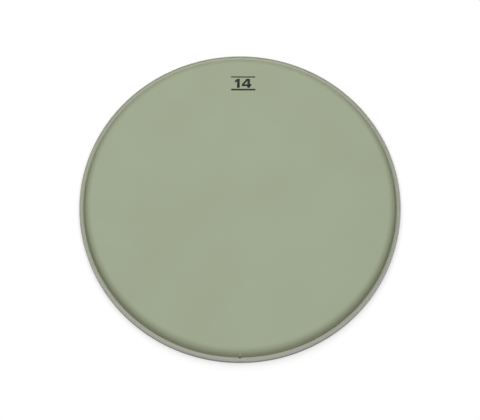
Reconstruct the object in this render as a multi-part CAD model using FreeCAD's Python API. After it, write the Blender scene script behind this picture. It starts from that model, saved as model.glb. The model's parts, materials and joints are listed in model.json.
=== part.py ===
import FreeCAD, Part
import math
import os

# A drum head: formed film whose edge is cast into an aluminium hoop with resin.
# Millimetres. The hoop stands on Z = 0, the drum's axis is Z and the playing side is up.

# Drum shell that the head fits over
SHELL_DIAMETER = 355.6
SHELL_CLEARANCE = 1.6

# Hoop, an extruded channel rolled into a ring with its open side up
INNER_WALL = 0.9
OUTER_WALL = 1.3
CHANNEL_WIDTH = 4.15
CHANNEL_FLOOR = 1.2
OUTER_WALL_HEIGHT = 8.5
INNER_WALL_HEIGHT = 7.6
HOOP_EDGE_ROUND = 0.5
WALL_TIP_ROUND = 0.25
CHANNEL_CORNER_ROUND = 0.6

# Butt joint of the rolled hoop, at the front
SEAM_GAP = 1.0
WELD_SINK = 0.08

# Film, formed in one piece with its flange standing in the channel
FILM_THICKNESS = 0.25
FILM_WALL_GAP = 0.25
FLANGE_FLOOR_GAP = 0.9
COLLAR_FOOT_RISE = 0.4
COLLAR_FOOT_ROUND = 2.0
COLLAR_ANGLE = 72.0
PLAYING_RISE = 11.0
SHOULDER_ROUND = 8.5

# Holes punched through the flange, which the resin fills
HOLE_DIAMETER = 2.6
HOLE_PITCH = 11.8

# Resin, highest where it wets the film and the outer wall
RESIN_DROP = 0.35
RESIN_DISH = 0.3
INNER_RESIN_DROP = 0.3

# Radii and heights that follow from those sizes
BORE_RADIUS = SHELL_DIAMETER / 2 + SHELL_CLEARANCE
CHANNEL_INSIDE = BORE_RADIUS + INNER_WALL
CHANNEL_OUTSIDE = CHANNEL_INSIDE + CHANNEL_WIDTH
HOOP_RADIUS = CHANNEL_OUTSIDE + OUTER_WALL
FLANGE_INSIDE = CHANNEL_INSIDE + FILM_WALL_GAP
FLANGE_OUTSIDE = FLANGE_INSIDE + FILM_THICKNESS
FLANGE_BOTTOM = CHANNEL_FLOOR + FLANGE_FLOOR_GAP
COLLAR_FOOT = OUTER_WALL_HEIGHT + COLLAR_FOOT_RISE
PLAYING_HEIGHT = OUTER_WALL_HEIGHT + PLAYING_RISE
RESIN_EDGE = OUTER_WALL_HEIGHT - RESIN_DROP
INNER_RESIN_TOP = INNER_WALL_HEIGHT - INNER_RESIN_DROP
SEAM_ANGLE = math.degrees(SEAM_GAP / HOOP_RADIUS)

ORIGIN = FreeCAD.Vector(0, 0, 0)
DRUM_AXIS = FreeCAD.Vector(0, 0, 1)
FRONT = -90.0
FULL_TURN = 360.0


def at(radius, height):
    """Point of a cross-section, which lies in the XZ plane."""
    return FreeCAD.Vector(radius, 0, height)


def corner_round(before, corner, after, radius):
    """Arc tangent to the two sides of a corner, as its start, its middle and its end."""
    back = (before - corner).normalize()
    forward = (after - corner).normalize()
    half_angle = back.getAngle(forward) / 2
    reach = radius / math.tan(half_angle)
    bisector = (back + forward).normalize()
    middle = corner + bisector * (radius / math.sin(half_angle) - radius)
    return corner + back * reach, middle, corner + forward * reach


def outline(corners):
    """Edges of a closed outline through (radius, height, rounding) corners."""
    points = [at(radius, height) for radius, height, rounding in corners]
    edges = []
    ends = []
    for i, (radius, height, rounding) in enumerate(corners):
        start = points[i]
        end = points[i]
        if rounding > 0:
            after = points[(i + 1) % len(points)]
            start, middle, end = corner_round(points[i - 1], points[i], after, rounding)
            edges.append(Part.Arc(start, middle, end).toShape())
        ends.append((start, end))
    for i, (start, end) in enumerate(ends):
        edges.append(Part.makeLine(ends[i - 1][1], start))
    return edges


def ring(edges, start=0.0, sweep=FULL_TURN):
    """Solid that a cross-section sweeps about the drum's axis, both angles in degrees."""
    wire = Part.Wire(Part.__sortEdges__(edges))
    face = Part.Face(wire)
    face.rotate(ORIGIN, DRUM_AXIS, start)
    return face.revolve(ORIGIN, DRUM_AXIS, sweep)


def hoop_section(sink=0.0):
    """Upright channel, with its outer faces sunk by a small depth on the weld."""
    bore = BORE_RADIUS + sink
    outside = HOOP_RADIUS - sink
    inner_top = INNER_WALL_HEIGHT - sink
    outer_top = OUTER_WALL_HEIGHT - sink
    return outline([
        (bore, sink, HOOP_EDGE_ROUND),
        (outside, sink, HOOP_EDGE_ROUND),
        (outside, outer_top, HOOP_EDGE_ROUND),
        (CHANNEL_OUTSIDE, outer_top, WALL_TIP_ROUND),
        (CHANNEL_OUTSIDE, CHANNEL_FLOOR, CHANNEL_CORNER_ROUND),
        (CHANNEL_INSIDE, CHANNEL_FLOOR, CHANNEL_CORNER_ROUND),
        (CHANNEL_INSIDE, inner_top, WALL_TIP_ROUND),
        (bore, inner_top, WALL_TIP_ROUND),
    ])


def hoop_channel():
    """Rolled channel, open by the width of its seam at the front."""
    return ring(hoop_section(), FRONT + SEAM_ANGLE / 2, FULL_TURN - SEAM_ANGLE)


def seam_weld():
    """Weld that fills the seam, dressed down a little below the channel's faces."""
    return ring(hoop_section(WELD_SINK), FRONT - SEAM_ANGLE / 2, SEAM_ANGLE)


def flange_holes():
    """Radial drills through the flange, halfway up the part that the resin holds."""
    middle = (FLANGE_BOTTOM + INNER_RESIN_TOP) / 2
    count = round(2 * math.pi * FLANGE_OUTSIDE / HOLE_PITCH)
    inside = at(FLANGE_INSIDE - FILM_THICKNESS, middle)
    outward = FreeCAD.Vector(1, 0, 0)
    drill = Part.makeCylinder(HOLE_DIAMETER / 2, 3 * FILM_THICKNESS, inside, outward)
    holes = []
    for i in range(count):
        hole = drill.copy()
        hole.rotate(ORIGIN, DRUM_AXIS, FULL_TURN * i / count)
        holes.append(hole)
    return holes


def head_film():
    """Flat playing area, rounded shoulder, sloping collar and upright punched flange."""
    slope = math.radians(COLLAR_ANGLE)
    lean = math.pi / 2 - slope
    shoulder = FLANGE_OUTSIDE - (PLAYING_HEIGHT - COLLAR_FOOT) / math.tan(slope)
    under_shoulder = shoulder - FILM_THICKNESS * math.tan(slope / 2)
    under_height = PLAYING_HEIGHT - FILM_THICKNESS
    under_foot = COLLAR_FOOT - FILM_THICKNESS * math.tan(lean / 2)
    formed = ring(outline([
        (0, PLAYING_HEIGHT, 0),
        (shoulder, PLAYING_HEIGHT, SHOULDER_ROUND),
        (FLANGE_OUTSIDE, COLLAR_FOOT, COLLAR_FOOT_ROUND),
        (FLANGE_OUTSIDE, FLANGE_BOTTOM, 0),
        (FLANGE_INSIDE, FLANGE_BOTTOM, 0),
        (FLANGE_INSIDE, under_foot, COLLAR_FOOT_ROUND - FILM_THICKNESS),
        (under_shoulder, under_height, SHOULDER_ROUND - FILM_THICKNESS),
        (0, under_height, 0),
    ]))
    return formed.cut(flange_holes())


def channel_resin(film):
    """Casting that fills the channel round the flange, with a dished top."""
    film_middle = (FLANGE_INSIDE + FLANGE_OUTSIDE) / 2
    band_middle = (FLANGE_OUTSIDE + CHANNEL_OUTSIDE) / 2
    dished_top = Part.Arc(
        at(CHANNEL_OUTSIDE, RESIN_EDGE),
        at(band_middle, RESIN_EDGE - RESIN_DISH),
        at(film_middle, RESIN_EDGE),
    ).toShape()
    body = ring(outline([
        (CHANNEL_INSIDE, CHANNEL_FLOOR, CHANNEL_CORNER_ROUND),
        (CHANNEL_OUTSIDE, CHANNEL_FLOOR, CHANNEL_CORNER_ROUND),
        (CHANNEL_OUTSIDE, INNER_RESIN_TOP, 0),
        (CHANNEL_INSIDE, INNER_RESIN_TOP, 0),
    ]))
    band = ring([
        dished_top,
        Part.makeLine(at(film_middle, RESIN_EDGE), at(film_middle, INNER_RESIN_TOP)),
        Part.makeLine(at(film_middle, INNER_RESIN_TOP), at(CHANNEL_OUTSIDE, INNER_RESIN_TOP)),
        Part.makeLine(at(CHANNEL_OUTSIDE, INNER_RESIN_TOP), at(CHANNEL_OUTSIDE, RESIN_EDGE)),
    ])
    return body.fuse(band).removeSplitter().cut(film)


def main():
    os.makedirs("parts", exist_ok=True)
    film = head_film()
    pieces = {
        "head_film": film,
        "hoop_channel": hoop_channel(),
        "channel_resin": channel_resin(film),
        "seam_weld": seam_weld(),
    }
    for name, shape in pieces.items():
        shape.exportStep(f"parts/{name}.step")


main()
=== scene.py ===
import json
import math

import bpy
import numpy as np
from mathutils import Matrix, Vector


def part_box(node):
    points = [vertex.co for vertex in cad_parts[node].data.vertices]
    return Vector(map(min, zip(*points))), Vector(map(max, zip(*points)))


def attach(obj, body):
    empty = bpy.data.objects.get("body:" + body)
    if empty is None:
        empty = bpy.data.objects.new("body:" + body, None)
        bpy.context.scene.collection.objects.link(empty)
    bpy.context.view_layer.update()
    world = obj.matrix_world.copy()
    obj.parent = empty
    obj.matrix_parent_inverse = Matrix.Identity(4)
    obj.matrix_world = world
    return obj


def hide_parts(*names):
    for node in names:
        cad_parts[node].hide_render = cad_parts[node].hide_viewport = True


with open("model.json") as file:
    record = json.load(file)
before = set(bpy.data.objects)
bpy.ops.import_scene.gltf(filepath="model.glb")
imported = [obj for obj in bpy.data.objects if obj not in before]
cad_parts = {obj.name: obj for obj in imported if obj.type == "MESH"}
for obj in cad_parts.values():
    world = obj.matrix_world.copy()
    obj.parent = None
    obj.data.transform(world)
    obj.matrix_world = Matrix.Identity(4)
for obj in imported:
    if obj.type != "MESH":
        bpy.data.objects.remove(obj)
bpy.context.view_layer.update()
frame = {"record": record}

# Hoop. An aluminium channel, extruded in one length, rolled into a ring with its open side up and
# butted at the front. Its dull mill finish keeps the die's lines all the way round, and the lip that
# a counterhoop presses on is rubbed brighter.

MM = 0.001
FULL_TURN = 2 * math.pi
FRONT = -math.pi / 2

mount_sizes = {mount["name"]: mount["dims"] for mount in frame["record"]["mounts"]}
hoop_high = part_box("hoop_channel")[1]
hoop_radius = hoop_high[0]
hoop_height = hoop_high[2]
bore_radius = mount_sizes["shell_bore"]["r_mm"] * MM

inner_wall = 0.9 * MM
outer_wall = 1.3 * MM
channel_floor = 1.2 * MM
inner_wall_height = 7.6 * MM
hoop_edge_round = 0.5 * MM
wall_tip_round = 0.25 * MM
channel_corner_round = 0.6 * MM
channel_inside = bore_radius + inner_wall
channel_outside = hoop_radius - outer_wall
seam_gap = 1.0 * MM
seam_turn = seam_gap / hoop_radius
hoop_steps = 480
longest_step = 0.6 * MM
crisp_edge = math.radians(50.0)
rub_reach = 0.8 * MM
aluminium_colour = (0.160, 0.163, 0.147)
aluminium_clean = (0.230, 0.233, 0.210)
rubbed_colour = (0.238, 0.241, 0.215)
die_lines = {"Around": 6.0, "Across": 9000.0}
die_bands = {"Around": 3.0, "Across": 1300.0}
short_scuffs = {"Around": 60.0, "Across": 3500.0}
wear_patch_count = 60.0
noise_spread = (0.30, 0.70)
tone_spread = (0.75, 1.25)
worn_spread = (0.35, 0.60)
scuff_spread = (0.60, 0.72)
scuff_share = (0.0, 0.6)
hoop_roughness = (0.50, 0.62)
rub_polish = 0.12
die_line_bump = 0.25
die_line_depth = 0.02 * MM


def unit(vectors):
    """Vectors of length 1 in the same directions."""
    return vectors / np.linalg.norm(vectors, axis=-1, keepdims=True)


def runs_ahead(loop):
    """Way from each point of a closed outline to the next."""
    return np.roll(loop, -1, axis=0) - loop


def divided(loop, steps):
    """Closed outline with points added along it: each run from point to point in its own even steps."""
    ahead = runs_ahead(loop)
    run = np.repeat(np.arange(len(loop)), steps)
    step = np.arange(len(run)) - (np.cumsum(steps) - steps)[run]
    return loop[run] + ahead[run] * (step / steps[run])[:, None]


def rounded(corners, arc_steps=6):
    """Closed outline through (radius, height, rounding) corners, run anticlockwise, as points.

    A rounding is the arc tangent to both sides of its corner. With h half the corner's angle, it
    starts rounding / tan(h) along each side, and its centre lies rounding / sin(h) up the bisector.
    """
    corners = np.array(corners)
    place = corners[:, None, :2]
    rounding = corners[:, None, 2:]
    back = unit(np.roll(place, 1, axis=0) - place)
    ahead = unit(np.roll(place, -1, axis=0) - place)
    half = np.arccos((back * ahead).sum(axis=-1, keepdims=True)) / 2
    share = np.linspace(0, 1, arc_steps + 1)[:, None]
    chord = place + ((1 - share) * back + share * ahead) * rounding / np.tan(half)
    centre = place + unit(back + ahead) * rounding / np.sin(half)
    arcs = centre + rounding * unit(chord - centre)
    return arcs.reshape(-1, 2)


def hoop_outline(sink=0.0):
    """Upright channel with a taller outer wall. Its outer faces can be sunk a little, as on the weld."""
    return rounded([
        (bore_radius + sink, sink, hoop_edge_round),
        (hoop_radius - sink, sink, hoop_edge_round),
        (hoop_radius - sink, hoop_height - sink, hoop_edge_round),
        (channel_outside, hoop_height - sink, wall_tip_round),
        (channel_outside, channel_floor, channel_corner_round),
        (channel_inside, channel_floor, channel_corner_round),
        (channel_inside, inner_wall_height - sink, wall_tip_round),
        (bore_radius + sink, inner_wall_height - sink, wall_tip_round),
    ])


def turned(radius, height, angle):
    """Grid of points (radius cos a, radius sin a, height), with one row for each angle a.

    Radius and height are one cross-section for every angle, or grids with a row for each.
    """
    angle = angle[:, None]
    return np.stack(np.broadcast_arrays(radius * np.cos(angle), radius * np.sin(angle), height), axis=-1)


def grid_faces(rows, columns, wrap_rows, wrap_columns):
    """Quads of a grid of points, as rows of four indices. A wrapped side joins its last to its first."""
    row = np.arange(rows if wrap_rows else rows - 1)[:, None]
    column = np.arange(columns if wrap_columns else columns - 1)[None, :]
    next_row = (row + 1) % rows
    next_column = (column + 1) % columns
    corners = [row * columns + column, next_row * columns + column]
    corners += [next_row * columns + next_column, row * columns + next_column]
    return np.stack(np.broadcast_arrays(*corners), axis=-1).reshape(-1, 4).tolist()


def ring_ends(rows, columns):
    """The two flat ends of a ring that isn't closed: its first row, and its last row turned about."""
    first = np.arange(columns)
    last = first[::-1] + (rows - 1) * columns
    return [first.tolist(), last.tolist()]


def add_piece(name, points, faces, node_replaced=None):
    """Smooth mesh object with crisp edges, in the drum's own frame, which rides on the one body."""
    mesh = bpy.data.meshes.new(name)
    mesh.from_pydata(points.reshape(-1, 3).tolist(), [], faces)
    mesh.polygons.foreach_set("use_smooth", np.ones(len(mesh.polygons), dtype=bool))
    mesh.update()
    mesh.set_sharp_from_angle(angle=crisp_edge)
    piece = bpy.data.objects.new(name, mesh)
    bpy.context.scene.collection.objects.link(piece)
    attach(piece, "root")
    if node_replaced:
        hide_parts(node_replaced)
    return piece


def point_value(piece, name, values):
    """Stores one number for each point of a mesh, for its material to read."""
    attribute = piece.data.attributes.new(name, "FLOAT", "POINT")
    attribute.data.foreach_set("value", np.ascontiguousarray(values, dtype=np.float32).ravel())


def lip_rub(section):
    """Share of rubbing on a cross-section: 1 at the outer lip, falling as exp(-(distance / reach)^2)."""
    distance = np.hypot(section[:, 0] - hoop_radius, section[:, 1] - hoop_height)
    return np.exp(-(distance / rub_reach) ** 2)


run_steps = np.ceil(np.linalg.norm(runs_ahead(hoop_outline()), axis=1) / longest_step).astype(int)
section = divided(hoop_outline(), run_steps)
hoop_angles = FRONT + np.linspace(seam_turn / 2, FULL_TURN - seam_turn / 2, hoop_steps)
hoop_faces = grid_faces(hoop_steps, len(section), False, True) + ring_ends(hoop_steps, len(section))
hoop_points = turned(section[:, 0], section[:, 1], hoop_angles)
hoop = add_piece("hoop_channel_rolled", hoop_points, hoop_faces, "hoop_channel")
point_value(hoop, "rubbed", np.tile(lip_rub(section), hoop_steps))


def new_material(name):
    """Empty node material: the material, its tree and the Principled shader that feeds its output."""
    material = bpy.data.materials.new(name)
    material.use_nodes = True
    tree = material.node_tree
    return material, tree, tree.nodes["Principled BSDF"]


def connect(tree, value, socket):
    """Links one socket to another, or sets a plain value on it."""
    if isinstance(value, bpy.types.NodeSocket):
        tree.links.new(value, socket)
    else:
        socket.default_value = value


def node(tree, kind, inputs=None, **settings):
    """Shader node with its settings, and its inputs set to values or linked from other sockets."""
    made = tree.nodes.new("ShaderNode" + kind)
    for key, value in settings.items():
        setattr(made, key, value)
    for key, value in (inputs or {}).items():
        connect(tree, value, made.inputs[key])
    return made


def math_node(tree, operation, first, second):
    """Result of one sum on two numbers."""
    return node(tree, "Math", {0: first, 1: second}, operation=operation).outputs[0]


def ramp(tree, value, spread, result=(0.0, 1.0)):
    """Value carried from its own spread to a range of results, and held at the ends."""
    inputs = {"Value": value, "From Min": spread[0], "From Max": spread[1]}
    inputs.update({"To Min": result[0], "To Max": result[1]})
    return node(tree, "MapRange", inputs).outputs["Result"]


def mix_colour(tree, share, first, second):
    """Colour between two others, by a share from 0 to 1."""
    made = node(tree, "Mix", {"Factor": share}, data_type="RGBA")
    for key, value in (("A", first), ("B", second)):
        socket = [s for s in made.inputs if s.name == key and s.type == "RGBA"][0]
        connect(tree, value if isinstance(value, bpy.types.NodeSocket) else (*value, 1.0), socket)
    return [s for s in made.outputs if s.type == "RGBA"][0]


def new_group(name, inputs, outputs):
    """Shader node group with number sockets: the group, its input node and its output node."""
    group = bpy.data.node_groups.new(name, "ShaderNodeTree")
    for key in inputs:
        group.interface.new_socket(key, in_out="INPUT", socket_type="NodeSocketFloat")
    for key in outputs:
        group.interface.new_socket(key, in_out="OUTPUT", socket_type="NodeSocketFloat")
    return group, group.nodes.new("NodeGroupInput").outputs, group.nodes.new("NodeGroupOutput").inputs


def place_group(tree, group, inputs):
    """One use of a node group with its own values, as its outputs."""
    made = tree.nodes.new("ShaderNodeGroup")
    made.node_tree = group
    for key, value in inputs.items():
        connect(tree, value, made.inputs[key])
    return made.outputs


def object_place(tree):
    """The point's place in the drum's frame, in metres."""
    return node(tree, "TexCoord").outputs["Object"]


def point_mask(tree, name):
    """A number that the mesh holds for each of its points."""
    return node(tree, "Attribute", attribute_name=name).outputs["Fac"]


def bumped(tree, shader, height, strength, distance):
    """Sets a shader's normal from a height that varies over the surface."""
    bump = node(tree, "Bump", {"Height": height, "Strength": strength, "Distance": distance})
    connect(tree, bump.outputs["Normal"], shader.inputs["Normal"])


def turned_lines_group():
    """Lines that run round the drum's axis, and slower patches.

    Noise is read at (cos a, sin a) times Around and at (radius + height) times Across, so it closes
    on itself after a turn. Around sets how short the lines are, and Across how fine.
    """
    group, given, result = new_group("turned_lines", ["Around", "Across"], ["Lines", "Patches"])
    place = object_place(group)
    along = node(group, "SeparateXYZ", {0: place}).outputs
    flat = node(group, "CombineXYZ", {0: along[0], 1: along[1]}).outputs[0]
    radius = node(group, "VectorMath", {0: flat}, operation="LENGTH").outputs["Value"]
    direction = node(group, "VectorMath", {0: flat}, operation="NORMALIZE").outputs[0]
    reach = {0: direction, "Scale": given["Around"]}
    around = node(group, "VectorMath", reach, operation="SCALE").outputs[0]
    across = math_node(group, "MULTIPLY", math_node(group, "ADD", radius, along[2]), given["Across"])
    upright = node(group, "CombineXYZ", {2: across}).outputs[0]
    spot = node(group, "VectorMath", {0: around, 1: upright}, operation="ADD").outputs[0]
    lines = node(group, "TexNoise", {"Vector": spot, "Scale": 1.0, "Detail": 3.0, "Roughness": 0.6})
    patches = node(group, "TexNoise", {"Vector": place, "Scale": wear_patch_count, "Detail": 4.0})
    group.links.new(lines.outputs["Fac"], result["Lines"])
    group.links.new(patches.outputs["Fac"], result["Patches"])
    return group


def hoop_metal():
    """Dull mill-finish aluminium: die lines over broader bands, short scuffs, and a lip rubbed bright."""
    material, tree, shader = new_material("mill_finish_aluminium")
    fine = place_group(tree, turned_lines, die_lines)
    bands = place_group(tree, turned_lines, die_bands)
    scuffs = place_group(tree, turned_lines, short_scuffs)
    tone = math_node(tree, "ADD", fine["Lines"], bands["Lines"])
    drawn = mix_colour(tree, ramp(tree, tone, tone_spread), aluminium_colour, aluminium_clean)
    worn = ramp(tree, fine["Patches"], worn_spread)
    rubbed = math_node(tree, "MULTIPLY", point_mask(tree, "rubbed"), worn)
    scuffed = ramp(tree, scuffs["Lines"], scuff_spread, scuff_share)
    bright = math_node(tree, "MAXIMUM", rubbed, scuffed)
    connect(tree, mix_colour(tree, bright, drawn, rubbed_colour), shader.inputs["Base Color"])
    dull = ramp(tree, fine["Patches"], noise_spread, hoop_roughness)
    smoothed = math_node(tree, "MULTIPLY", bright, rub_polish)
    connect(tree, math_node(tree, "SUBTRACT", dull, smoothed), shader.inputs["Roughness"])
    shader.inputs["Metallic"].default_value = 1.0
    bumped(tree, shader, tone, die_line_bump, die_line_depth)
    return material


turned_lines = turned_lines_group()
hoop.data.materials.append(hoop_metal())

# Seam weld. The butted ends of the hoop are closed by a weld of the same metal, filed back until it
# lies just under the channel's faces, and level with the lip. A fine groove is left along each side.

weld_sink = 0.08 * MM
weld_groove = 0.08 * MM
file_mark_depth = 0.012 * MM
file_mark_pitch = 0.4 * MM
file_mark_slant = 9.0
weld_steps = 25
weld_colour = (0.215, 0.216, 0.195)
weld_dark = (0.150, 0.149, 0.133)
weld_grain = {"Around": 420.0, "Across": 2600.0}
grain_spread = (0.38, 0.60)
weld_roughness = (0.68, 0.50)
weld_bump = 0.4
weld_bump_depth = 0.05 * MM


def outward_normals(loop):
    """Unit normals of a closed outline run anticlockwise: each tangent turned a quarter to the right."""
    tangent = np.roll(loop, -1, axis=0) - np.roll(loop, 1, axis=0)
    return unit(np.stack([tangent[:, 1], -tangent[:, 0]], axis=-1))


def weld_depth(across, height):
    """Depth of the filed face, where across runs from -1 to 1.

    A groove deepens as a square over the outer half of each side, and the file marks are a cosine
    that leans by the slant.
    """
    groove = np.clip(np.abs(across) * 2 - 1, 0, 1) ** 2
    marks = np.cos(file_mark_slant * across + height / file_mark_pitch)
    return weld_groove * groove + file_mark_depth * marks


across_weld = np.linspace(-1, 1, weld_steps)
filed_back = 1 - np.exp(-((hoop_height - section[:, 1]) / rub_reach) ** 2)
weld_section = section + (divided(hoop_outline(weld_sink), run_steps) - section) * filed_back[:, None]
depth = weld_depth(across_weld[:, None], weld_section[None, :, 1]) * filed_back
weld_loop = weld_section[None] - outward_normals(weld_section)[None] * depth[..., None]
weld_points = turned(weld_loop[..., 0], weld_loop[..., 1], FRONT + across_weld * seam_turn / 2)
weld_columns = len(weld_section)
weld_faces = grid_faces(weld_steps, weld_columns, False, True) + ring_ends(weld_steps, weld_columns)
weld = add_piece("seam_weld_filed", weld_points, weld_faces, "seam_weld")
point_value(weld, "rubbed", np.tile(lip_rub(section), weld_steps))


def weld_metal():
    """Filed weld: a little duller than the hoop, pitted, and rubbed on the lip as the hoop is."""
    material, tree, shader = new_material("filed_weld")
    grain = place_group(tree, turned_lines, weld_grain)
    pitted = mix_colour(tree, ramp(tree, grain["Lines"], grain_spread), weld_dark, weld_colour)
    rubbed = point_mask(tree, "rubbed")
    connect(tree, mix_colour(tree, rubbed, pitted, rubbed_colour), shader.inputs["Base Color"])
    connect(tree, ramp(tree, grain["Lines"], noise_spread, weld_roughness), shader.inputs["Roughness"])
    shader.inputs["Metallic"].default_value = 1.0
    bumped(tree, shader, grain["Lines"], weld_bump, weld_bump_depth)
    return material


weld.data.materials.append(weld_metal())

# Film. One sheet of polyester, heat formed into a flat playing area, a rounded shoulder, a steep
# collar and an upright flange that stands in the hoop. Its frosted face is matte and grey-green.

film_low, film_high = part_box("head_film")
playing_height = film_high[2]
flange_outside = film_high[0]
flange_bottom = film_low[2]
film_thickness = 0.25 * MM
flange_inside = flange_outside - film_thickness
collar_angle = math.radians(72.0)
collar_foot = hoop_height + 0.4 * MM
collar_foot_round = 2.0 * MM
shoulder_round = 8.5 * MM
shoulder_corner = flange_outside - (playing_height - collar_foot) / math.tan(collar_angle)
flat_radius = shoulder_corner - shoulder_round * math.tan(collar_angle / 2)
slack_rise = 0.12 * MM
slack_waves = [(0.50, 2, 0.7), (0.30, 3, -1.1), (0.25, 5, 2.0)]
ripple_depth = 0.02 * MM
ripple_count = 46
ripple_fade = 4.0 * MM
crease_rise = 0.5 * MM
crease_width = 0.6 * MM
crease_height = 1.5 * MM
crease_middle = collar_foot + 5.0 * MM
shade_reach = 1.8 * MM
film_steps = 480
flat_steps = 20
shoulder_steps = 20
collar_steps = 10
foot_steps = 5
flange_steps = 6
film_colour = (0.346, 0.392, 0.269)
film_pale = (0.356, 0.402, 0.281)
# Painted shade: the film drawn darker and browner the steeper it stands.
slope_shade_colour = (0.335, 0.365, 0.245)
# A whitened crease, with a painted highlight on it.
whitened_crease_highlight_colour = (0.640, 0.690, 0.520)
# Painted shade: darkens the foot of the collar, the resin along the film and the pit by the seam.
crevice_shade_colour = (0.240, 0.250, 0.165)
film_frost = {"Pebble Count": 900.0, "Cloud Count": 14.0}
film_shade_patches = 120.0
cloud_spread = (0.35, 0.65)
patch_spread = (0.35, 0.60)
patch_share = (0.7, 1.0)
film_roughness = (0.55, 0.70)
film_specular = 0.3
pebble_bump = 0.3
pebble_depth = 0.05 * MM


def angles_close_at_front(steps, crowding=0.85):
    """Angles round the drum, t - crowding sin(t) from the front, which lie closer together there."""
    turn = np.linspace(0, FULL_TURN, steps, endpoint=False)
    return FRONT + turn - crowding * np.sin(turn)


def from_seam(angle):
    """Distance round the collar from the hoop's seam, from minus to plus half a turn."""
    return np.angle(np.exp(1j * (angle - FRONT))) * flange_outside


def straight(start, end, steps):
    """Points that divide a straight run into even steps, with its start left out."""
    return start + (end - start) * np.arange(1, steps + 1)[:, None] / steps


def unit_normals(turn):
    """Directions (sin t, cos t) across the film, outwards from its playing side."""
    return np.stack([np.sin(turn), np.cos(turn)], axis=-1)


def film_profile():
    """Outer face of the film from beside the axis to the flange's foot, and its turns from level.

    A point of an arc lies at its centre plus its radius times (sin t, cos t), where t is the turn.
    The shoulder turns from level to the collar's slope, and the collar's foot on to upright.
    """
    shoulder_turn = np.linspace(0, collar_angle, shoulder_steps + 1)
    foot_turn = np.linspace(collar_angle, math.pi / 2, foot_steps + 1)
    foot_rise = collar_foot - collar_foot_round * math.tan((math.pi / 2 - collar_angle) / 2)
    shoulder_centre = np.array([flat_radius, playing_height - shoulder_round])
    foot_centre = np.array([flange_outside - collar_foot_round, foot_rise])
    shoulder = shoulder_centre + shoulder_round * unit_normals(shoulder_turn)
    foot = foot_centre + collar_foot_round * unit_normals(foot_turn)
    flat = straight(np.array([0.0, playing_height]), shoulder[0], flat_steps)[:-1]
    collar = straight(shoulder[-1], foot[0], collar_steps)[:-1]
    flange = straight(foot[-1], np.array([flange_outside, flange_bottom]), flange_steps)
    places = np.vstack([flat, shoulder, collar, foot, flange])
    level = np.zeros(len(flat))
    sloped = np.full(len(collar), collar_angle)
    upright = np.full(len(flange), math.pi / 2)
    return places, np.concatenate([level, shoulder_turn, sloped, foot_turn, upright])


def waves_round(angle, waves):
    """Sum of share cos(count a + phase) round the drum, over waves given as (share, count, phase)."""
    return sum(share * np.cos(count * angle + phase) for share, count, phase in waves)


def film_slack(radius, angle):
    """Rise of the film where nothing stretches it, in slow waves round the drum.

    They grow as the square of the radius from the centre, and fade as its sixth power at the rim.
    """
    share = radius / flange_outside
    swell = share ** 2 * np.clip(1 - share ** 6, 0, 1)
    return slack_rise * swell * waves_round(angle, slack_waves)


def collar_ripple(turn, height, angle):
    """Ripples that the forming leaves on the collar: cosines round the drum, uneven in pitch and depth.

    They grow with the film's slope, and fade to nothing at the hoop's lip.
    """
    steep = np.sin(turn) ** 2 * np.clip((height - hoop_height) / ripple_fade, 0, 1)
    pitch = np.cos(ripple_count * angle + 1.3 * np.sin(3 * angle))
    depth = 0.6 + 0.4 * np.cos(5 * angle + 0.4)
    return ripple_depth * steep * pitch * depth


def seam_crease(height, angle):
    """Share of the small crease in the collar over the hoop's seam: exp(-x^2 - y^2) about its middle."""
    beside = from_seam(angle) / crease_width
    above = (height - crease_middle) / crease_height
    return np.exp(-beside ** 2 - above ** 2)


def shade_above(height, line):
    """Share of painted shade on a steep face above the line where it is darkest, falling as exp(-(rise /
    reach)^2).
    """
    return np.exp(-(np.maximum(height - line, 0) / shade_reach) ** 2)


outer_side, side_turn = film_profile()
side_normal = unit_normals(side_turn)
film_angles = angles_close_at_front(film_steps)
slack = film_slack(outer_side[None, :, 0], film_angles[:, None]) * np.cos(side_turn)
ripple = collar_ripple(side_turn[None], outer_side[None, :, 1], film_angles[:, None])
crease = seam_crease(outer_side[None, :, 1], film_angles[:, None])
lift = slack + ripple + crease_rise * crease
outer_face = outer_side[None] + side_normal[None] * lift[..., None]
inner_face = outer_face - side_normal[None] * film_thickness
film_loop = np.concatenate([inner_face, outer_face[:, ::-1]], axis=1)
film_grid = turned(film_loop[..., 0], film_loop[..., 1], film_angles)
film_columns = film_grid.shape[1]
film_poles = [[0, 0, playing_height - film_thickness], [0, 0, playing_height]]
film_points = np.vstack([film_grid.reshape(-1, 3), film_poles])
under_pole = film_steps * film_columns
top_pole = under_pole + 1
under_ring = np.arange(film_steps) * film_columns
top_ring = under_ring + film_columns - 1
under_fan = np.stack([np.full(film_steps, under_pole), np.roll(under_ring, -1), under_ring], axis=-1)
top_fan = np.stack([np.full(film_steps, top_pole), top_ring, np.roll(top_ring, -1)], axis=-1)
film_faces = grid_faces(film_steps, film_columns, True, False) + under_fan.tolist() + top_fan.tolist()
film = add_piece("head_film_formed", film_points, film_faces, "head_film")


def film_value(name, values):
    """Stores numbers given for the film's outer face, by angle and place, on both faces and the poles."""
    values = np.broadcast_to(values, outer_face.shape[:2])
    loop = np.concatenate([values, values[:, ::-1]], axis=1)
    point_value(film, name, np.concatenate([loop.ravel(), [0, 0]]))


# Painted shade by slope: 0 on the flat, 1 on the upright flange.
film_value("slope_shade", np.sin(side_turn))
film_value("crease", crease)
# Painted shade on the film above the hoop's lip, darkest at the collar's foot.
film_value("painted_shade", shade_above(outer_side[:, 1], hoop_height))


def frost_group():
    """Frosting: a fine Pebble and a coarser Cloud, noises with that many grains to the metre."""
    group, given, result = new_group("frost", ["Pebble Count", "Cloud Count"], ["Pebble", "Cloud"])
    place = object_place(group)
    pebble = node(group, "TexNoise", {"Vector": place, "Scale": given["Pebble Count"], "Detail": 4.0})
    cloud = node(group, "TexNoise", {"Vector": place, "Scale": given["Cloud Count"], "Detail": 5.0})
    group.links.new(pebble.outputs["Fac"], result["Pebble"])
    group.links.new(cloud.outputs["Fac"], result["Cloud"])
    return group


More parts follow.
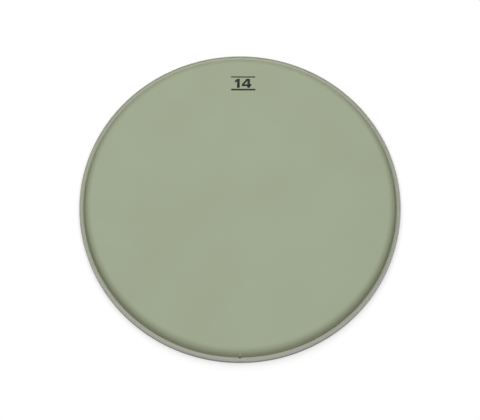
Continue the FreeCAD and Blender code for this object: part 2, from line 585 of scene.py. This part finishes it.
def patchy_shade_group():
    """Painted shade: a mask for where it lies, made patchy by a noise with that many grains to the metre.
    """
    group, given, result = new_group("patchy_shade", ["Shade Mask", "Patch Count"], ["Dust"])
    place = object_place(group)
    patches = node(group, "TexNoise", {"Vector": place, "Scale": given["Patch Count"], "Detail": 4.0})
    uneven = ramp(group, patches.outputs["Fac"], patch_spread, patch_share)
    group.links.new(math_node(group, "MULTIPLY", given["Shade Mask"], uneven), result["Dust"])
    return group


def film_plastic():
    """Frosted polyester: cloudy grey-green with a matte pebble, and painted shade that makes it darker and
    browner the steeper it stands.

    A crease in it whitens and carries a painted highlight, and painted shade darkens the foot of the
    collar.
    """
    material, tree, shader = new_material("frosted_polyester")
    frosted = place_group(tree, frost, film_frost)
    cloudy = mix_colour(tree, ramp(tree, frosted["Cloud"], cloud_spread), film_colour, film_pale)
    slope_shaded = mix_colour(tree, point_mask(tree, "slope_shade"), cloudy, slope_shade_colour)
    creased_and_highlit = mix_colour(tree, point_mask(tree, "crease"), slope_shaded, whitened_crease_highlight_colour)
    # Patchy painted shade over the film's colour at the collar's foot.
    shade_inputs = {"Shade Mask": point_mask(tree, "painted_shade"), "Patch Count": film_shade_patches}
    shade_share = place_group(tree, patchy_shade, shade_inputs)
    connect(tree, mix_colour(tree, shade_share["Dust"], creased_and_highlit, crevice_shade_colour), shader.inputs["Base Color"])
    connect(tree, ramp(tree, frosted["Pebble"], noise_spread, film_roughness), shader.inputs["Roughness"])
    shader.inputs["Specular IOR Level"].default_value = film_specular
    bumped(tree, shader, frosted["Pebble"], pebble_bump, pebble_depth)
    return material


frost = frost_group()
patchy_shade = patchy_shade_group()
film.data.materials.append(film_plastic())

# Resin. Poured into the channel round the film's flange and cured there: a dull grey casting that
# climbs the film and slopes to the wall, shrinks from the film and has a small pit at the hoop's seam.

resin_at_film = hoop_height + 0.25 * MM
resin_at_wall = hoop_height - 0.65 * MM
resin_dish = 0.12 * MM
inner_resin_top = inner_wall_height - 0.3 * MM
resin_wetting = 0.02 * MM
flange_cover = 0.3 * MM
crevice_depth = 0.3 * MM
crevice_width = 0.15
wave_height = 0.6 * MM
band_waves = [(0.05, 7, 1.0), (0.04, 17, 0.0), (0.03, 41, 2.0)]
pit_depth = 2.1 * MM
pit_width = 1.1 * MM
pit_middle = -0.8
pit_length = 0.40
resin_steps = 720
band_steps = 29
crevice_shade_width = 0.5
resin_colour = (0.289, 0.301, 0.217)
resin_pale = (0.324, 0.336, 0.251)
resin_frost = {"Pebble Count": 1400.0, "Cloud Count": 90.0}
resin_shade_patches = 160.0
bubble_count = 700.0
bubble_spread = (0.08, 0.20)
bubble_share = (1.0, 0.0)
resin_roughness = (0.35, 0.48)
resin_specular = 0.85
grain_bump = 0.3
grain_depth = 0.06 * MM


def seam_pit(across, angle):
    """Share of the pit beside the hoop's seam: exp(-x^2 - y^2) about a place close to the film."""
    return np.exp(-(from_seam(angle) / pit_width) ** 2 - ((across - pit_middle) / pit_length) ** 2)


def resin_top(across, angle):
    """Height of the band, where across runs from -1 at the film to 1 at the wall.

    It is a straight slope with slow waves and a dish, which fade at both sides as a cube, less a
    narrow crevice exp(-x^2) along the film and the pit beside the seam.
    """
    slope = resin_at_wall + (resin_at_film - resin_at_wall) * (1 - across) / 2
    sag = 1 - np.abs(across) ** 3
    waves = wave_height * waves_round(angle, band_waves)
    crevice = np.exp(-((across + 1) / crevice_width) ** 2)
    sunk = crevice_depth * crevice + pit_depth * seam_pit(across, angle)
    return slope + sag * (waves - resin_dish) - sunk


resin_angles = angles_close_at_front(resin_steps)
across_band = np.linspace(1, -1, band_steps)
band_middle = (flange_outside + channel_outside) / 2
band_half = (channel_outside - flange_outside) / 2 + resin_wetting
top_height = resin_top(across_band[None, :], resin_angles[:, None])
top_radius = np.broadcast_to(band_middle + band_half * across_band, top_height.shape)
sunk_side = np.array([
    (flange_outside - resin_wetting, flange_bottom - flange_cover),
    (flange_inside + resin_wetting, flange_bottom - flange_cover),
    (flange_inside + resin_wetting, inner_resin_top),
    (channel_inside - resin_wetting, inner_resin_top),
    (channel_inside - resin_wetting, channel_floor - resin_wetting),
    (channel_outside + resin_wetting, channel_floor - resin_wetting),
])
sunk_radius = np.tile(sunk_side[:, 0], (resin_steps, 1))
sunk_height = np.tile(sunk_side[:, 1], (resin_steps, 1))
resin_radius = np.hstack([top_radius, sunk_radius])
resin_height = np.hstack([top_height, sunk_height])
resin_points = turned(resin_radius, resin_height, resin_angles)
resin_faces = grid_faces(resin_steps, resin_points.shape[1], True, True)
resin = add_piece("channel_resin_cast", resin_points, resin_faces, "channel_resin")
# Painted shade along the film's foot and in the pit beside the seam.
crevice_share = np.exp(-((across_band + 1) / crevice_shade_width) ** 2)
top_shade = np.maximum(crevice_share[None], seam_pit(across_band[None], resin_angles[:, None]))
point_value(resin, "painted_shade", np.hstack([top_shade, np.zeros_like(sunk_radius)]))


def cast_resin():
    """Cured resin: dull and cloudy, with a fine grain, tiny open bubbles, and painted shade along the film
    and in the pit by the seam.
    """
    material, tree, shader = new_material("cured_resin")
    frosted = place_group(tree, frost, resin_frost)
    cells = node(tree, "TexVoronoi", {"Vector": object_place(tree), "Scale": bubble_count})
    bubble = ramp(tree, cells.outputs["Distance"], bubble_spread, bubble_share)
    cloudy = mix_colour(tree, ramp(tree, frosted["Cloud"], cloud_spread), resin_colour, resin_pale)
    # Patchy painted shade over the resin's colour along the film and in the pit.
    shade_inputs = {"Shade Mask": point_mask(tree, "painted_shade"), "Patch Count": resin_shade_patches}
    shade_share = place_group(tree, patchy_shade, shade_inputs)
    connect(tree, mix_colour(tree, shade_share["Dust"], cloudy, crevice_shade_colour), shader.inputs["Base Color"])
    connect(tree, ramp(tree, frosted["Cloud"], noise_spread, resin_roughness), shader.inputs["Roughness"])
    shader.inputs["Specular IOR Level"].default_value = resin_specular
    grain = math_node(tree, "SUBTRACT", frosted["Pebble"], bubble)
    bumped(tree, shader, grain, grain_bump, grain_depth)
    return material


resin.data.materials.append(cast_resin())

# Ink. A plain size number between two rules, screen printed in dark ink near the far edge of the
# playing area. It dries as a thin film of its own on the polyester.

mark_centre = (3.7 * MM, 146.5 * MM)
mark_width = 28.5 * MM
numeral_height = 11.4 * MM
numeral_gap = 0.22
upper_rule = 1.5 * MM
lower_rule = 2.2 * MM
rule_rise = 8.0 * MM
ink_thickness = 0.02 * MM
ink_colour = (0.012, 0.012, 0.010)
ink_thin = (0.028, 0.029, 0.024)
ink_frost = {"Pebble Count": 1600.0, "Cloud Count": 200.0}
speck_spread = (0.45, 0.70)
ink_roughness = (0.42, 0.55)
ink_specular = 0.2
rule_points = 17

# Outlines of the numerals, one unit high
one = np.array([(0.22, 0), (0.50, 0), (0.50, 1), (0.26, 1), (0, 0.80), (0, 0.56), (0.22, 0.72)])
four = np.array([
    (0.56, 0), (0.84, 0), (0.84, 0.18), (0.98, 0.18), (0.98, 0.39), (0.84, 0.39),
    (0.84, 1), (0.50, 1), (0, 0.40), (0, 0.18), (0.56, 0.18),
])
eye_of_four = np.array([(0.56, 0.39), (0.56, 0.76), (0.25, 0.39)])


def filled(outlines):
    """Flat mesh inside closed outlines, of which one within another is a hole: its points and faces."""
    curve = bpy.data.curves.new("outlines", "CURVE")
    curve.dimensions = "2D"
    curve.fill_mode = "BOTH"
    for outline in outlines:
        spline = curve.splines.new("POLY")
        spline.points.add(len(outline) - 1)
        spline.points.foreach_set("co", np.hstack([outline, np.zeros_like(outline)]).ravel())
        spline.use_cyclic_u = True
    holder = bpy.data.objects.new("outlines", curve)
    mesh = bpy.data.meshes.new_from_object(holder)
    bpy.data.objects.remove(holder)
    points = np.empty(len(mesh.vertices) * 3)
    mesh.vertices.foreach_get("co", points)
    return points.reshape(-1, 3)[:, :2], [list(polygon.vertices) for polygon in mesh.polygons]


def numeral_shape():
    """The two numerals side by side with a gap, centred on the origin at their real height."""
    second_start = np.array([one[:, 0].max() + numeral_gap, 0])
    points, faces = filled([one, four + second_start, eye_of_four + second_start])
    middle = (points.min(axis=0) + points.max(axis=0)) / 2
    return (points - middle) * numeral_height, faces


def rule_shape(thickness, rise):
    """Flat bar of the mark's width at a rise from its centre, as a grid two points high."""
    along = np.linspace(-mark_width / 2, mark_width / 2, rule_points)
    low = np.stack([along, np.full(rule_points, rise - thickness / 2)], axis=-1)
    high = low + (0, thickness)
    return np.vstack([high, low]), grid_faces(2, rule_points, False, False)


shapes = [numeral_shape()]
shapes.append(rule_shape(upper_rule, rule_rise))
shapes.append(rule_shape(lower_rule, -rule_rise))
ink_flat = np.vstack([points for points, faces in shapes]) + mark_centre
starts = np.cumsum([0] + [len(points) for points, faces in shapes])
ink_faces = []
for start, (points, faces) in zip(starts, shapes):
    ink_faces += [[start + index for index in face] for face in faces]
ink_rise = film_slack(np.hypot(*ink_flat.T), np.arctan2(ink_flat[:, 1], ink_flat[:, 0]))
ink_points = np.column_stack([ink_flat, playing_height + ink_rise + ink_thickness])
ink = add_piece("size_mark_ink", ink_points, ink_faces)
ink_body = ink.modifiers.new("ink thickness", "SOLIDIFY")
ink_body.thickness = ink_thickness
ink_body.offset = -1.0


def printing_ink():
    """Dark screen ink, a little thinner in specks."""
    material, tree, shader = new_material("screen_ink")
    frosted = place_group(tree, frost, ink_frost)
    specks = ramp(tree, frosted["Pebble"], speck_spread)
    connect(tree, mix_colour(tree, specks, ink_colour, ink_thin), shader.inputs["Base Color"])
    connect(tree, ramp(tree, frosted["Cloud"], noise_spread, ink_roughness), shader.inputs["Roughness"])
    shader.inputs["Specular IOR Level"].default_value = ink_specular
    return material


ink.data.materials.append(printing_ink())

# Studio. A white paper floor, a large soft lamp overhead, weak ones from the front and the back, and a
# camera at the photograph's angle: in front of the head and well above it.

floor_reach = 4.0
white = (1.0, 1.0, 1.0)
black = (0.0, 0.0, 0.0)
floor_bounce = (0.25, 0.25, 0.25)
shadow_reach = (0.24, 0.60)
paper_glow = (0.47, 1.02)
paper_colour = (0.62, 0.62, 0.62)
paper_roughness = 0.9
unseen_or_seen = (0.0, 1.0)
sky_strength = (0.03, 1.02)

floor_mesh = bpy.data.meshes.new("floor")
floor_corners = np.array([(-1, -1, 0), (1, -1, 0), (1, 1, 0), (-1, 1, 0)]) * floor_reach
floor_mesh.from_pydata(floor_corners.tolist(), [], [[0, 1, 2, 3]])
floor = bpy.data.objects.new("floor", floor_mesh)
bpy.context.scene.collection.objects.link(floor)


def seen_directly(tree):
    """1 for what the eye sees, also in metal or through glass, and 0 for light that is only bounced."""
    path = node(tree, "LightPath").outputs
    mirrored = math_node(tree, "MAXIMUM", path["Is Camera Ray"], path["Is Glossy Ray"])
    return math_node(tree, "MAXIMUM", mirrored, path["Is Transmission Ray"])


def floor_paper():
    """White paper that takes the shadow near the object, is an even white far off, and bounces little."""
    material, tree, shader = new_material("floor_paper")
    seen = seen_directly(tree)
    distance = node(tree, "VectorMath", {0: object_place(tree)}, operation="LENGTH").outputs["Value"]
    far = ramp(tree, distance, shadow_reach)
    shaded = mix_colour(tree, far, paper_colour, black)
    connect(tree, mix_colour(tree, seen, floor_bounce, shaded), shader.inputs["Base Color"])
    glow = math_node(tree, "MULTIPLY", seen, ramp(tree, distance, shadow_reach, paper_glow))
    connect(tree, glow, shader.inputs["Emission Strength"])
    shader.inputs["Emission Color"].default_value = (*white, 1.0)
    shader.inputs["Roughness"].default_value = paper_roughness
    shader.inputs["Specular IOR Level"].default_value = 0.0
    return material


floor_mesh.materials.append(floor_paper())

world = bpy.data.worlds.new("studio")
bpy.context.scene.world = world
world.use_nodes = True
sky = world.node_tree
backdrop = sky.nodes["Background"]
backdrop.inputs["Color"].default_value = (*white, 1.0)
backdrop_strength = ramp(sky, seen_directly(sky), unseen_or_seen, sky_strength)
connect(sky, backdrop_strength, backdrop.inputs["Strength"])


def add_lamp(name, place, width, length, power):
    """Oblong soft lamp at a place, tipped forwards or back so that it faces the head."""
    lamp = bpy.data.lights.new(name, "AREA")
    lamp.shape = "RECTANGLE"
    lamp.size = width
    lamp.size_y = length
    lamp.energy = power
    holder = bpy.data.objects.new(name, lamp)
    holder.location = place
    holder.rotation_euler = (math.atan2(-place[1], place[2]), 0.0, 0.0)
    bpy.context.scene.collection.objects.link(holder)


add_lamp("overhead softbox", (-0.08, 0.27, 1.5), width=1.6, length=2.6, power=27.9)
add_lamp("front fill", (0.1, -1.6, 0.9), width=0.8, length=0.8, power=7.2)
add_lamp("back fill", (0.0, 1.6, 0.9), width=0.8, length=0.8, power=3.0)

camera_elevation = math.radians(71.85)
camera_distance = 2.0
camera_aim = Vector((0.0, -6.8 * MM, 8.5 * MM))
camera_lens = 129.89
camera_sensor = 36.0
camera_data = bpy.data.cameras.new("camera")
camera_data.lens = camera_lens
camera_data.sensor_width = camera_sensor
camera = bpy.data.objects.new("camera", camera_data)
camera_side = Vector((0.0, -math.cos(camera_elevation), math.sin(camera_elevation)))
camera.location = camera_aim + camera_distance * camera_side
camera.rotation_euler = (math.pi / 2 - camera_elevation, 0.0, 0.0)
bpy.context.scene.collection.objects.link(camera)
bpy.context.scene.camera = camera
bpy.context.scene.view_settings.view_transform = "Standard"
